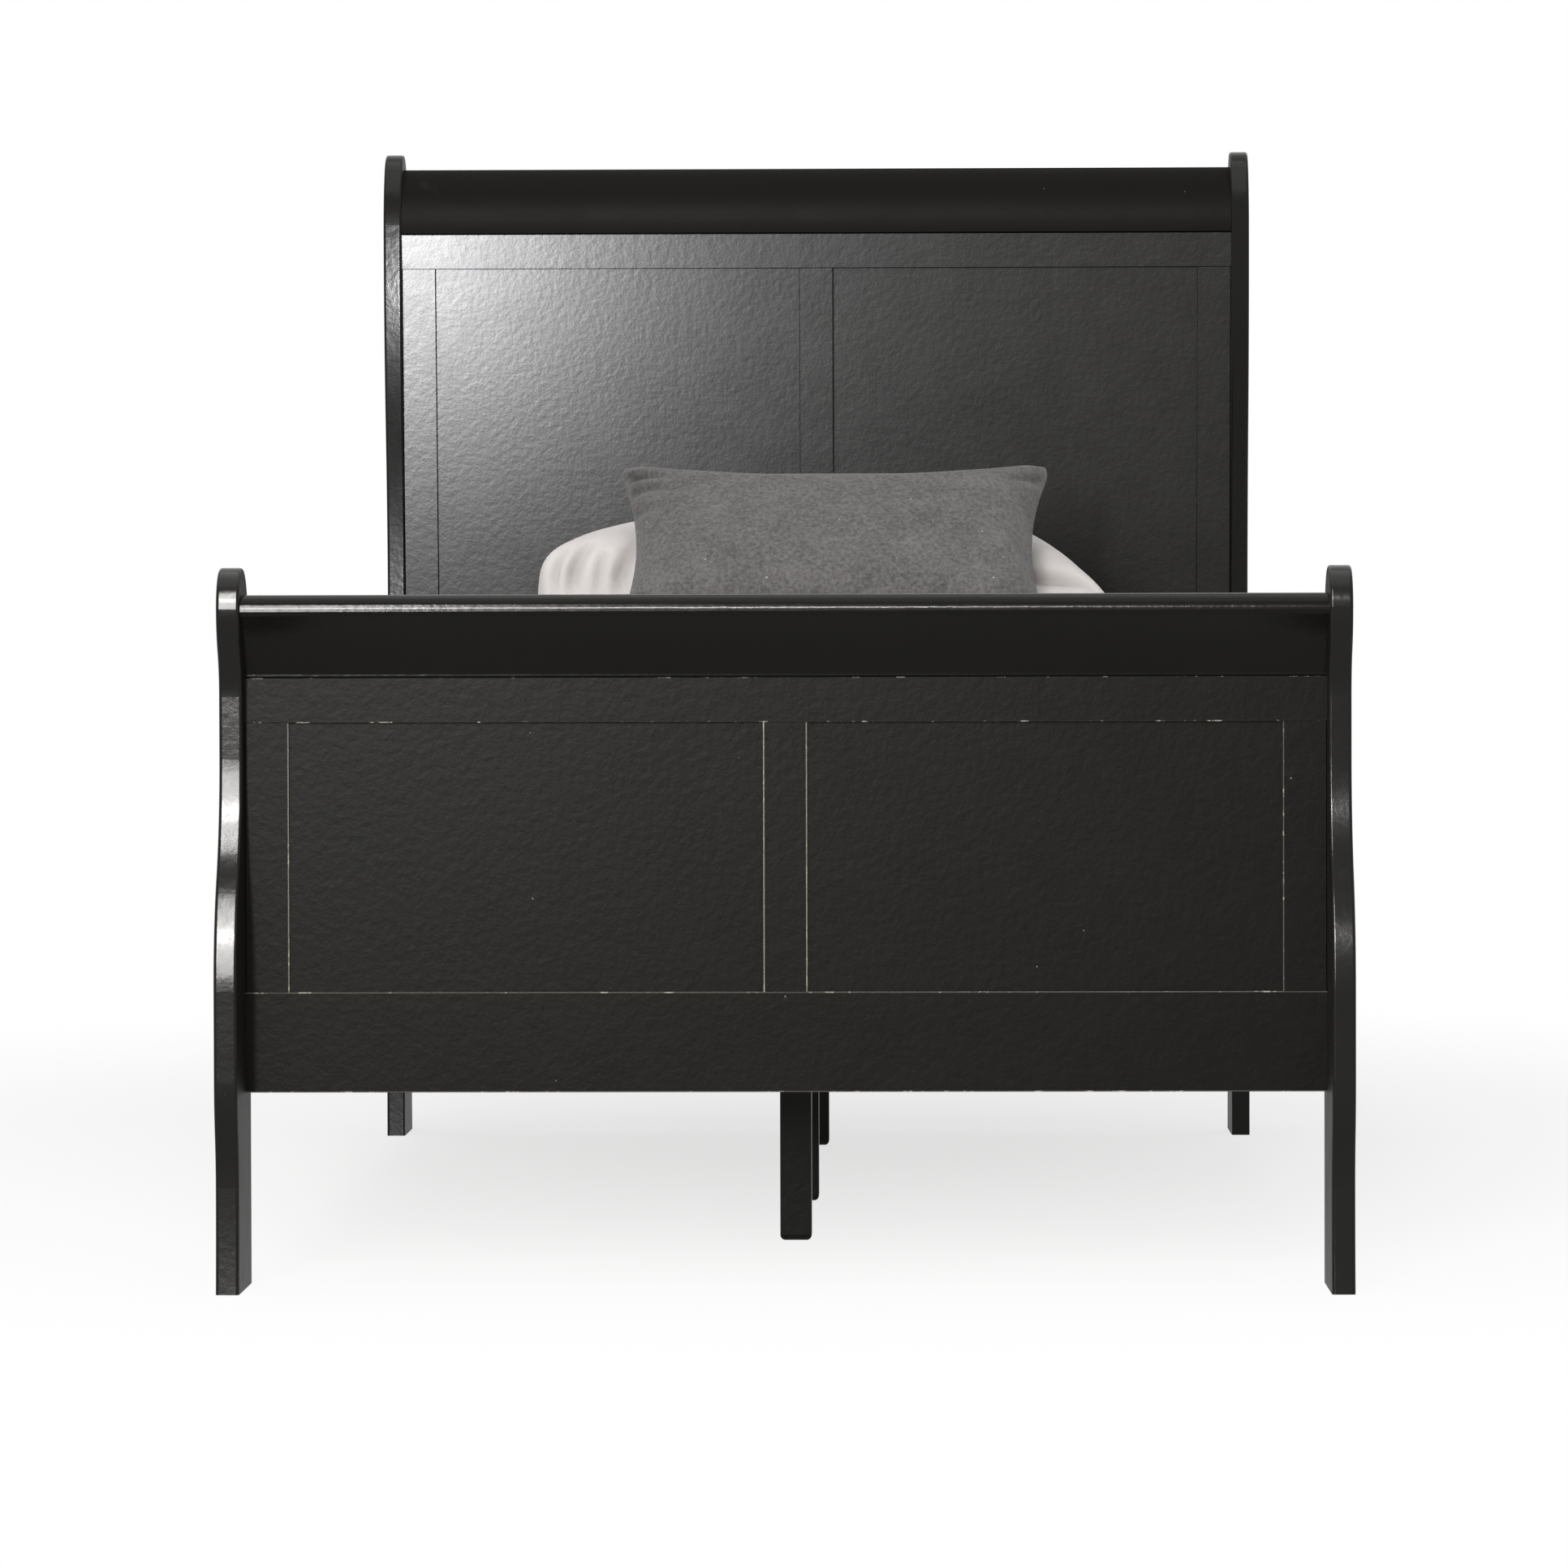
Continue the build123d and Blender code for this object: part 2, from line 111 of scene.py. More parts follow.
GREY_CREASES = (
    ((-0.259, 0.136), (-0.186, 0.100), 0.013, 0.007),
    ((-0.259, 0.108), (-0.174, 0.068), 0.010, 0.008),
    ((-0.259, 0.066), (-0.205, 0.040), 0.006, 0.008),
    ((0.259, 0.128), (0.205, 0.098), 0.008, 0.008),
    ((0.259, -0.114), (0.185, -0.118), 0.007, 0.008),
    ((-0.259, -0.114), (-0.185, -0.118), 0.007, 0.008),
)

# Stage: half of the floor's side (metres), the even light's strength, lamp colours and pieces that lamps are linked to.
FLOOR_REACH = 30.0
AMBIENT = 0.23
WARM = (1.0, 0.985, 0.965)
COOL = (0.98, 0.98, 1.0)
HEADBOARD_POSTS = ("headboard_post_left", "headboard_post_right")
HEADBOARD_FACE = (
    "headboard_panel_left", "headboard_panel_right", "headboard_stile_left", "headboard_stile_right",
    "headboard_centre_stile", "headboard_top_rail",
)


# Surfaces

def grid(rows, columns):
    """Two parameters v and u, each from -1 to 1, over a grid of points."""
    return np.meshgrid(np.linspace(-1, 1, rows), np.linspace(-1, 1, columns), indexing="ij")


def quads_of(index):
    """Quads that join an array of point numbers to its neighbours along both sides."""
    corners = (index[:-1, :-1], index[:-1, 1:], index[1:, 1:], index[1:, :-1])
    return np.stack(corners, axis=-1).reshape(-1, 4)


def surface(name, points, quads, material):
    """A smooth mesh object from whole arrays, with equal points welded and its faces turned outwards."""
    mesh = bpy.data.meshes.new(name)
    mesh.from_pydata(points.reshape(-1, 3).tolist(), [], quads.tolist())
    shell = bmesh.new()
    shell.from_mesh(mesh)
    bmesh.ops.remove_doubles(shell, verts=shell.verts, dist=1e-6)
    bmesh.ops.recalc_face_normals(shell, faces=shell.faces)
    shell.to_mesh(mesh)
    shell.free()
    mesh.shade_smooth()
    mesh.materials.append(material)
    made = bpy.data.objects.new(name, mesh)
    bpy.context.scene.collection.objects.link(made)
    return made


def tube(name, path, radius, material):
    """A round cord along a closed path: each point of the path carries a circle square to the path."""
    ahead = np.roll(path, -1, axis=0) - np.roll(path, 1, axis=0)
    ahead /= np.linalg.norm(ahead, axis=1, keepdims=True)
    side = np.cross(ahead, (0.0, 0.31, 0.95))
    side /= np.linalg.norm(side, axis=1, keepdims=True)
    up = np.cross(side, ahead)
    turn = np.linspace(0, 2 * np.pi, CORD_SIDES, endpoint=False)
    ring = side[:, None] * np.cos(turn)[None, :, None] + up[:, None] * np.sin(turn)[None, :, None]
    points = path[:, None] + radius * ring
    index = np.arange(len(path) * CORD_SIDES).reshape(len(path), CORD_SIDES)
    index = np.pad(index, ((0, 1), (0, 1)), mode="wrap")
    return surface(name, points, quads_of(index), material)


# Shading: every tree is built from a few plain steps

class Shading:
    """Adds nodes to one tree. Inputs take plain values or other nodes' outputs."""

    def __init__(self, tree):
        self.tree = tree

    def feed(self, socket, value):
        if isinstance(value, bpy.types.NodeSocket):
            self.tree.links.new(value, socket)
        else:
            socket.default_value = value

    def add(self, kind, inputs=None, **settings):
        made = self.tree.nodes.new(kind)
        for name, value in settings.items():
            setattr(made, name, value)
        for name, value in (inputs or {}).items():
            self.feed(made.inputs[name], value)
        return made

    def calc(self, operation, *values, clamp=False):
        made = self.add("ShaderNodeMath", operation=operation, use_clamp=clamp)
        for place, value in enumerate(values):
            self.feed(made.inputs[place], value)
        return made.outputs[0]

    def vector(self, operation, *values):
        made = self.add("ShaderNodeVectorMath", operation=operation)
        for place, value in enumerate(values):
            self.feed(made.inputs[place], value)
        return made.outputs["Value" if operation == "LENGTH" else "Vector"]

    def blend(self, factor, first, second):
        made = self.add("ShaderNodeMix", data_type="RGBA")
        for place, value in ((0, factor), (6, first), (7, second)):
            self.feed(made.inputs[place], value)
        return made.outputs[2]

    def either(self, factor, first, second):
        """The first node's shader where the factor is 0, the second one's where it is 1."""
        made = self.add("ShaderNodeMixShader", {"Fac": factor})
        for place, node in ((1, first), (2, second)):
            self.feed(made.inputs[place], node.outputs[0])
        return made.outputs[0]

    def rise(self, value, low, high, start=0.0, end=1.0):
        """A smooth step from start at low to end at high."""
        limits = {"Value": value, "From Min": low, "From Max": high, "To Min": start, "To Max": end}
        return self.add("ShaderNodeMapRange", limits, interpolation_type="SMOOTHSTEP").outputs["Result"]

    def noise(self, position, scale, detail=2.0, roughness=0.5):
        inputs = {"Vector": position, "Scale": scale, "Detail": detail, "Roughness": roughness}
        return self.add("ShaderNodeTexNoise", inputs).outputs["Fac"]

    def place(self, position, scale=(1, 1, 1), turn=(0, 0, 0), move=(0, 0, 0)):
        inputs = {"Vector": position, "Scale": scale, "Rotation": turn, "Location": move}
        return self.add("ShaderNodeMapping", inputs).outputs["Vector"]

    def parts(self, position):
        return self.add("ShaderNodeSeparateXYZ", {"Vector": position}).outputs

    def own_position(self):
        return self.add("ShaderNodeTexCoord").outputs["Object"]

    def use(self, effect, **inputs):
        made = self.add("ShaderNodeGroup", node_tree=effect)
        for name, value in inputs.items():
            self.feed(made.inputs[name.replace("_", " ")], value)
        return made.outputs


def effect(name, inputs, outputs):
    """A new node group with named sockets: its shading, its inputs and the node that takes its outputs."""
    tree = bpy.data.node_groups.new(name, "ShaderNodeTree")
    for socket, kind in inputs.items():
        tree.interface.new_socket(socket, in_out="INPUT", socket_type="NodeSocket" + kind)
    for socket, kind in outputs.items():
        tree.interface.new_socket(socket, in_out="OUTPUT", socket_type="NodeSocket" + kind)
    shading = Shading(tree)
    return tree, shading, shading.add("NodeGroupInput").outputs, shading.add("NodeGroupOutput").inputs


def lacquer_skin():
    """Sprayed black lacquer: cloudy black, dust specks, orange peel over a trace of grain, worn places."""
    tree, s, given, result = effect(
        "Lacquer skin",
        {"Position": "Vector", "Grain position": "Vector", "Gloss": "Float", "Wear": "Float"},
        {"Color": "Color", "Roughness": "Float", "Height": "Float"},
    )
    position = given["Position"]
    cloud = s.noise(position, 5.0, 3.0, 0.6)
    black = s.blend(cloud, (0.0046, 0.0043, 0.0035, 1), (0.0072, 0.0067, 0.0055, 1))
    cells = s.add("ShaderNodeTexVoronoi", {"Vector": position, "Scale": 46.0})
    chosen = s.calc("GREATER_THAN", s.parts(cells.outputs["Color"])[0], 0.90)
    speck = s.calc("MULTIPLY", chosen, s.rise(cells.outputs["Distance"], 0.045, 0.025))
    scuff = s.calc("MULTIPLY", s.rise(s.noise(position, 9.0, 4.0, 0.7), 0.66, 0.80), 0.05)
    marked = s.blend(s.calc("MAXIMUM", speck, scuff), black, (0.20, 0.19, 0.17, 1))
    s.feed(result["Color"], s.blend(given["Wear"], marked, (0.80, 0.75, 0.62, 1)))
    peel = s.noise(position, 115.0, 3.0, 0.6)
    grain = s.noise(given["Grain position"], 240.0, 3.0, 0.6)
    s.feed(result["Height"], s.calc("MULTIPLY_ADD", peel, 0.9, s.calc("MULTIPLY", grain, 0.1)))
    uneven = s.rise(s.noise(position, 26.0, 4.0), 0.3, 0.7, -0.012, 0.012)
    rough = s.calc("ADD", s.calc("SUBTRACT", 1.0, given["Gloss"]), uneven)
    s.feed(result["Roughness"], s.calc("MULTIPLY_ADD", given["Wear"], 0.3, rough, clamp=True))
    return tree


def edge_wear():
    """A broken pale line along a piece's arrises: on a face of its box, the middle one of the three distances
    to the box's sides is the distance to the nearest edge."""
    tree, s, given, result = effect(
        "Edge wear",
        {"Position": "Vector", "Low": "Vector", "High": "Vector", "Width": "Float", "Amount": "Float"},
        {"Mask": "Float"},
    )
    position = given["Position"]
    inside = s.vector("MINIMUM", s.vector("SUBTRACT", position, given["Low"]),
                      s.vector("SUBTRACT", given["High"], position))
    x, y, z = s.parts(s.vector("ABSOLUTE", inside))
    least = s.calc("MINIMUM", s.calc("MINIMUM", x, y), z)
    most = s.calc("MAXIMUM", s.calc("MAXIMUM", x, y), z)
    whole = s.calc("ADD", s.calc("ADD", x, y), z)
    middle = s.calc("SUBTRACT", s.calc("SUBTRACT", whole, least), most)
    line = s.calc("SUBTRACT", 1.0, s.calc("DIVIDE", middle, given["Width"]), clamp=True)
    worn = s.noise(position, 70.0, 6.0, 0.7)
    limit = s.calc("SUBTRACT", 0.74, s.calc("MULTIPLY", given["Amount"], 0.26))
    broken = s.rise(worn, limit, s.calc("ADD", limit, 0.07))
    faint = s.calc("MULTIPLY", s.calc("SUBTRACT", given["Amount"], 0.6), 2.0, clamp=True)
    shown = s.calc("MAXIMUM", s.calc("MULTIPLY", broken, 0.90), faint)
    s.feed(result["Mask"], s.calc("MULTIPLY", s.calc("POWER", line, 0.6), shown))
    return tree


def timber_figure():
    """Pale softwood along its own length: stretched noise for the fibres, warped rings for the figure."""
    tree, s, given, result = effect(
        "Timber figure", {"Position": "Vector"}, {"Color": "Color", "Roughness": "Float", "Height": "Float"},
    )
    warp = s.noise(given["Position"], 5.0, 2.0)
    sides = s.parts(given["Position"])
    across = s.calc("MULTIPLY_ADD", warp, 0.9, s.calc("MULTIPLY", sides[1], 22.0))
    across = s.calc("MULTIPLY_ADD", sides[2], 31.0, across)
    ring = s.calc("FRACT", s.calc("MULTIPLY", across, 1.7))
    late = s.rise(ring, 0.45, 0.95)
    fibre = s.noise(s.place(given["Position"], (6.0, 240.0, 240.0)), 1.0, 3.0, 0.6)
    pale = s.blend(late, (0.58, 0.40, 0.22, 1), (0.40, 0.235, 0.105, 1))
    s.feed(result["Color"], s.blend(s.calc("MULTIPLY", fibre, 0.35), pale, (0.70, 0.53, 0.32, 1)))
    s.feed(result["Roughness"], s.calc("MULTIPLY_ADD", late, -0.12, 0.66))
    s.feed(result["Height"], s.calc("MULTIPLY_ADD", fibre, 0.6, s.calc("MULTIPLY", late, 0.3)))
    return tree


def plain_weave():
    """Threads crossing one over one: two sine ridges in step, each fading where the other passes over it."""
    tree, s, given, result = effect(
        "Plain weave", {"Cloth": "Vector", "Threads": "Float"}, {"Height": "Float", "Slub": "Float"},
    )
    across, along, _ = s.parts(given["Cloth"])
    warp = s.calc("SINE", s.calc("MULTIPLY", across, given["Threads"]))
    weft = s.calc("SINE", s.calc("MULTIPLY", along, given["Threads"]))
    s.feed(result["Height"], s.calc("MAXIMUM", s.calc("ABSOLUTE", warp), s.calc("ABSOLUTE", weft)))
    streak = s.noise(s.place(given["Cloth"], (40.0, 900.0, 1.0)), 1.0, 2.0)
    s.feed(result["Slub"], streak)
    return tree


def heather():
    """Felted wool of mixed greys: clumps of light and dark fibre, short hairs and sparse pale neps."""
    tree, s, given, result = effect(
        "Heather", {"Position": "Vector"}, {"Color": "Color", "Height": "Float"},
    )
    position = given["Position"]
    cloud = s.noise(position, 24.0, 3.0, 0.6)
    clump = s.noise(position, 190.0, 3.0, 0.7)
    fibre = s.noise(s.place(position, (1.0, 1.0, 1.8)), 700.0, 3.0, 0.7)
    mixed = s.calc("MULTIPLY_ADD", clump, 0.46, s.calc("MULTIPLY", fibre, 0.36))
    mixed = s.calc("MULTIPLY_ADD", cloud, 0.18, mixed)
    grey = s.blend(s.rise(mixed, 0.34, 0.66), (0.046, 0.043, 0.043, 1), (0.18, 0.171, 0.169, 1))
    cells = s.add("ShaderNodeTexVoronoi", {"Vector": position, "Scale": 85.0})
    chosen = s.calc("GREATER_THAN", s.parts(cells.outputs["Color"])[0], 0.94)
    nep = s.calc("MULTIPLY", chosen, s.rise(cells.outputs["Distance"], 0.12, 0.06))
    s.feed(result["Color"], s.blend(s.calc("MULTIPLY", nep, 0.8), grey, (0.64, 0.63, 0.62, 1)))
    s.feed(result["Height"], s.calc("MULTIPLY_ADD", nep, 0.5, mixed))
    return tree


LACQUER_SKIN = lacquer_skin()
EDGE_WEAR = edge_wear()
TIMBER_FIGURE = timber_figure()
PLAIN_WEAVE = plain_weave()
HEATHER = heather()


def finish(name):
    """A new material: its shading and its Principled shader."""
    material = bpy.data.materials.new(name)
    material.use_nodes = True
    shader = material.node_tree.nodes["Principled BSDF"]
    return material, Shading(material.node_tree), shader.inputs


def relief(s, height, depth):
    """Bump of that depth in metres."""
    inputs = {"Height": height, "Distance": depth, "Strength": 1.0}
    return s.add("ShaderNodeBump", inputs).outputs["Normal"]


# Finishes of the frame

GRAIN_ACROSS = {"x": (0.05, 1.0, 1.0), "y": (1.0, 0.05, 1.0), "z": (1.0, 1.0, 0.05)}


def own_box(node, lean):
    """Lowest and highest corner of a node in its board's frame: its points turned back about X by the lean."""
    mesh = nodes[node].data
    points = np.empty(len(mesh.vertices) * 3)
    mesh.vertices.foreach_get("co", points)
    turned = points.reshape(-1, 3) @ np.array(Matrix.Rotation(-math.radians(lean), 3, "X")).T
    return turned.min(axis=0), turned.max(axis=0)


def black_lacquer(node, grain, gloss, wear, lean=0.0, mirror=0.12,
                  side_gloss=None, peel=FLAT_PEEL, covered=0, joint=0.0):
    """Black lacquer on one piece, with its grain along one axis and worn arrises. A piece can be duller on the
    flat sides of its board, at the lowest and highest X of its box, than on its rounded edges. The side that
    another piece covers, -1 or 1 along X, doesn't wear. Up to the joint's height its foot is unlit and dull."""
    material, s, shader = finish("black_lacquer_" + node)
    low, high = own_box(node, lean)
    low[0] -= OFF_THE_PIECE * (covered < 0)
    high[0] += OFF_THE_PIECE * (covered > 0)
    turned = s.place(s.own_position(), turn=(-math.radians(lean), 0, 0))
    worn = s.use(EDGE_WEAR, Position=turned, Low=tuple(low), High=tuple(high), Width=WORN_WIDTH, Amount=wear)
    if side_gloss is not None:
        x = s.parts(turned)[0]
        from_side = s.calc("MINIMUM", s.calc("SUBTRACT", x, low[0]), s.calc("SUBTRACT", high[0], x))
        gloss = s.rise(from_side, *EASED_EDGE, side_gloss, gloss)
    skin = s.use(LACQUER_SKIN, Position=turned, Grain_position=s.place(turned, GRAIN_ACROSS[grain]),
                 Gloss=gloss, Wear=worn["Mask"])
    above = s.rise(s.calc("SUBTRACT", s.parts(turned)[2], low[2]), 0.8 * joint, joint + 0.0001)
    s.feed(shader["Base Color"], s.blend(above, (0.001, 0.001, 0.001, 1), skin["Color"]))
    s.feed(shader["Roughness"], s.calc("MAXIMUM", skin["Roughness"], s.calc("SUBTRACT", 1.0, above)))
    s.feed(shader["Normal"], relief(s, skin["Height"], peel))
    shader["Specular IOR Level"].default_value = mirror
    return material


def bare_pine(node):
    """Unfinished pine with its fibres along the piece's longest side."""
    material, s, shader = finish("bare_pine_" + node)
    low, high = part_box(node)
    along_y = high[1] - low[1] > high[0] - low[0]
    turn = (0, 0, math.radians(-90 if along_y else 0))
    turned = s.place(s.own_position(), turn=turn, move=(0, low[1], low[2]))
    figure = s.use(TIMBER_FIGURE, Position=turned)
    s.feed(shader["Base Color"], figure["Color"])
    s.feed(shader["Roughness"], figure["Roughness"])
    s.feed(shader["Normal"], relief(s, figure["Height"], 0.0003))
    return material


def zinc_steel():
    """Bright zinc plate: cloudy crystals, fine scratches, a little dulling."""
    material, s, shader = finish("zinc_steel")
    position = s.own_position()
    cells = s.add("ShaderNodeTexVoronoi", {"Vector": position, "Scale": 420.0})
    cloud = s.noise(position, 120.0, 3.0)
    crystal = s.calc("MULTIPLY_ADD", s.parts(cells.outputs["Color"])[0], 0.4, s.calc("MULTIPLY", cloud, 0.6))
    s.feed(shader["Base Color"], s.blend(crystal, (0.42, 0.43, 0.45, 1), (0.66, 0.67, 0.69, 1)))
    s.feed(shader["Roughness"], s.rise(crystal, 0.2, 0.8, 0.24, 0.46))
    scratch = s.noise(s.place(position, (40.0, 900.0, 900.0)), 1.0, 2.0)
    s.feed(shader["Normal"], relief(s, scratch, 0.00005))
    shader["Metallic"].default_value = 1.0
    return material


def dress(node, material):
    """Puts one material on all of a node's slots."""
    slots = nodes[node].data.materials
    slots.clear()
    slots.append(material)


def dress_flat(board, look, piece, grain, worn, covered=0):
    """Lacquer on one flat piece of a board, worn as much as the board's look allows."""
    node = f"{board}_{piece}"
    wear = worn * look["wear"]
    dress(node, black_lacquer(node, grain, FLAT_GLOSS, wear, look["lean"], look["mirror"], covered=covered))


def dress_boards():
    """Posts and the footboard's crest are rubbed glossier than the flat frames, and all posts and crests smoother. The
    footboard's edges are the more worn ones, and the headboard's crest is dull."""
    looks = {
        "footboard": dict(lean=0.0, wear=1.0, mirror=0.06, crest=(0.83, 0.088)),
        "headboard": dict(lean=HEADBOARD_LEAN, wear=0.35, mirror=0.14, crest=(0.5, 0.035)),
    }
    for board, look in looks.items():
        dress_flat(board, look, "centre_stile", "z", 0.92)
        dress_flat(board, look, "top_rail", "x", 0.62)
        dress_flat(board, look, "bottom_rail", "x", 0.70)
        for side, end, worn in (("left", -1, 0.84), ("right", 1, 0.70)):
            dress_flat(board, look, f"stile_{side}", "z", worn, end)
            dress_flat(board, look, f"panel_{side}", "z", 0.0)
            post = f"{board}_post_{side}"
            dress(post, black_lacquer(post, "z", POST_GLOSS, 0.0, mirror=0.17,
                                      side_gloss=POST_SIDE_GLOSS, peel=ROUND_PEEL))
        crest, (gloss, mirror) = f"{board}_crest_rail", look["crest"]
        dress(crest, black_lacquer(crest, "x", gloss, 0.0, look["lean"], mirror,
                                   peel=ROUND_PEEL, joint=CREST_JOINT))


def dress_bed_base():
    """Side rails and legs in lacquer, ledgers and slats in pine, hardware in zinc."""
    zinc = zinc_steel()
    for node in nodes:
        if node.startswith("side_rail"):
            dress(node, black_lacquer(node, "y", 0.64, 0.2))
        elif node.startswith("support_leg") and not node.endswith("bolts"):
            dress(node, black_lacquer(node, "z", 0.70, 0.1))
        elif node.startswith("slat_") and not node.endswith("screws"):
            dress(node, bare_pine(node))
        elif node.startswith("rail_hook") or node.endswith(("screws", "bolts")):
            dress(node, zinc)


# Finishes of the bedding

def cloth_position(s):
    """The cloth's own measure in metres, carried by the piece's UV map."""
    return s.add("ShaderNodeUVMap", uv_map="cloth").outputs["UV"]


def in_crease(s, strength):
    """How much a crease of the piece is shaded by its own lips."""
    return s.calc("MULTIPLY", s.add("ShaderNodeAttribute", attribute_name="crease").outputs["Fac"], strength)


def white_cotton():
    """Washed cotton: fine threads, soft slubs, a warm white that dulls slightly in patches."""
    material, s, shader = finish("white_cotton")
    cloth = cloth_position(s)
    weave = s.use(PLAIN_WEAVE, Cloth=cloth, Threads=2 * math.pi * 900)
    soft = s.noise(s.own_position(), 12.0, 3.0)
    tone = s.calc("MULTIPLY_ADD", weave["Slub"], 0.35, s.calc("MULTIPLY", soft, 0.65))
    white = s.blend(tone, (0.70, 0.655, 0.64, 1), (0.82, 0.78, 0.765, 1))
    s.feed(shader["Base Color"], s.blend(in_crease(s, 0.55), white, (0.31, 0.28, 0.27, 1)))
    crumple = s.noise(s.place(s.own_position(), (1.0, 1.0, 0.6)), 42.0, 4.0, 0.55)
    height = s.calc("MULTIPLY_ADD", weave["Height"], 0.05, crumple)
    s.feed(shader["Normal"], relief(s, height, 0.0022))
    shader["Roughness"].default_value = 0.85
    shader["Sheen Weight"].default_value = 0.15
    return material


def grey_felt():
    """Napped grey cloth with a soft sheen."""
    material, s, shader = finish("grey_felt")
    mixed = s.use(HEATHER, Position=s.own_position())
    s.feed(shader["Base Color"], s.blend(in_crease(s, 0.5), mixed["Color"], (0.030, 0.029, 0.029, 1)))
    s.feed(shader["Normal"], relief(s, mixed["Height"], 0.0012))
    shader["Roughness"].default_value = 0.95
    shader["Sheen Weight"].default_value = 0.10
    shader["Sheen Roughness"].default_value = 0.5
    return material


def ticking(name, pale, dark, threads):
    """Close woven ticking: thread relief and faint stripes of slub in two near whites."""
    material, s, shader = finish(name)
    position = s.own_position()
    weave = s.use(PLAIN_WEAVE, Cloth=position, Threads=2 * math.pi * threads)
    soft = s.noise(position, 8.0, 3.0)
    tone = s.calc("MULTIPLY_ADD", weave["Slub"], 0.4, s.calc("MULTIPLY", soft, 0.6))
    s.feed(shader["Base Color"], s.blend(tone, dark, pale))
    fuzz = s.noise(position, 700.0, 2.0)
    s.feed(shader["Normal"], relief(s, s.calc("MULTIPLY_ADD", weave["Height"], 0.5, fuzz), 0.0004))
    shader["Roughness"].default_value = 0.9
    shader["Sheen Weight"].default_value = 0.2
    return material


# Bedding

def rounded_rectangle(u, v, half_x, half_y, radius):
    """A square grid laid on a rectangle with round corners: in each corner square a point slides along its ray
    from the arc's centre until lines of equal reach become quarter circles."""
    x, y = u * half_x, v * half_y
    over_x = np.maximum(np.abs(x) - half_x + radius, 0)
    over_y = np.maximum(np.abs(y) - half_y + radius, 0)
    reach = np.maximum(np.hypot(over_x, over_y), 1e-9)
    shrink = np.where((over_x > 0) & (over_y > 0), np.maximum(over_x, over_y) / reach, 1.0)
    return x - np.sign(x) * over_x * (1 - shrink), y - np.sign(y) * over_y * (1 - shrink)


def rim(array):
    """The border of a grid of points as one loop."""
    return np.concatenate([array[0, :-1], array[:-1, -1], array[-1, :0:-1], array[:0:-1, 0]])


def boxed_pad(name, node, material, piping_material, puff, shoulder, bulge):
    """A pad with a quilted top, a bulging border and piped edges. The top rises from its edge to its full height
    within the shoulder; quilting is the product of two crossing waves; the border swells as half a sine."""
    low, high = (np.array(corner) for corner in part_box(node))
    middle, half = (low + high) / 2, (high - low) / 2
    half_x, half_y = half[0] - bulge, half[1] - bulge
    v, u = grid(*PAD_GRID)
    x, y = rounded_rectangle(u, v, half_x, half_y, PAD_CORNER)
    inset = np.minimum(half_x - np.abs(x), half_y - np.abs(y))
    swell = 1 - np.exp(-np.clip(inset, 0, None) / shoulder)
    first = np.sin(np.pi * (x / QUILT_ACROSS + y / QUILT_ALONG))
    second = np.sin(np.pi * (x / QUILT_ACROSS - y / QUILT_ALONG))
    quilt = puff * (np.sqrt(np.abs(first * second)) - 1) * swell
    edge = 3 * PIPING
    top_z = high[2] - edge * (1 - swell) + quilt
    bottom_z = low[2] + edge * (1 - swell)
    top = np.stack([x, y, top_z], axis=-1)
    bottom = np.stack([x, y, bottom_z], axis=-1)
    upper, lower = rim(top), rim(bottom)
    outward = np.roll(upper, -1, axis=0) - np.roll(upper, 1, axis=0)
    outward = np.stack([outward[:, 1], -outward[:, 0], 0 * outward[:, 0]], axis=-1)
    outward /= np.maximum(np.linalg.norm(outward, axis=1, keepdims=True), 1e-9)
    level = np.linspace(0, 1, BORDER_ROWS)[:, None, None]
    band = lower * (1 - level) + upper * level + bulge * np.sin(np.pi * level) ** 0.7 * outward
    count = top.shape[0] * top.shape[1]
    sheet = np.arange(count).reshape(top.shape[:2])
    strip = np.arange(band.shape[0] * band.shape[1]).reshape(band.shape[:2])
    strip = np.pad(strip, ((0, 0), (0, 1)), mode="wrap")
    quads = np.concatenate([quads_of(sheet), quads_of(sheet + count), quads_of(strip + 2 * count)])
    centre = np.array([middle[0], middle[1], 0.0])
    points = np.concatenate([part.reshape(-1, 3) for part in (top, bottom, band)]) + centre
    pad = surface(name, points, quads, material)
    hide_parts(node)
    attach(pad, node)
    for label, loop in (("upper", upper), ("lower", lower)):
        path = loop + outward * PIPING * 0.3 + centre
        cord = tube(f"{name}_piping_{label}", path, PIPING, piping_material)
        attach(cord, node)
    return pad


def sewn_sheets(rows, columns):
    """Point numbers of two sheets sewn along their rim: the lower sheet borrows the upper sheet's rim points."""
    upper = np.arange(rows * columns).reshape(rows, columns)
    lower = upper.copy()
    inner = np.arange((rows - 2) * (columns - 2)).reshape(rows - 2, columns - 2)
    lower[1:-1, 1:-1] = rows * columns + inner
    return upper, lower


def two_sheets(upper, lower):
    """Points of the upper sheet, then of the lower sheet inside its rim."""
    return np.concatenate([upper.reshape(-1, 3), lower[1:-1, 1:-1].reshape(-1, 3)])


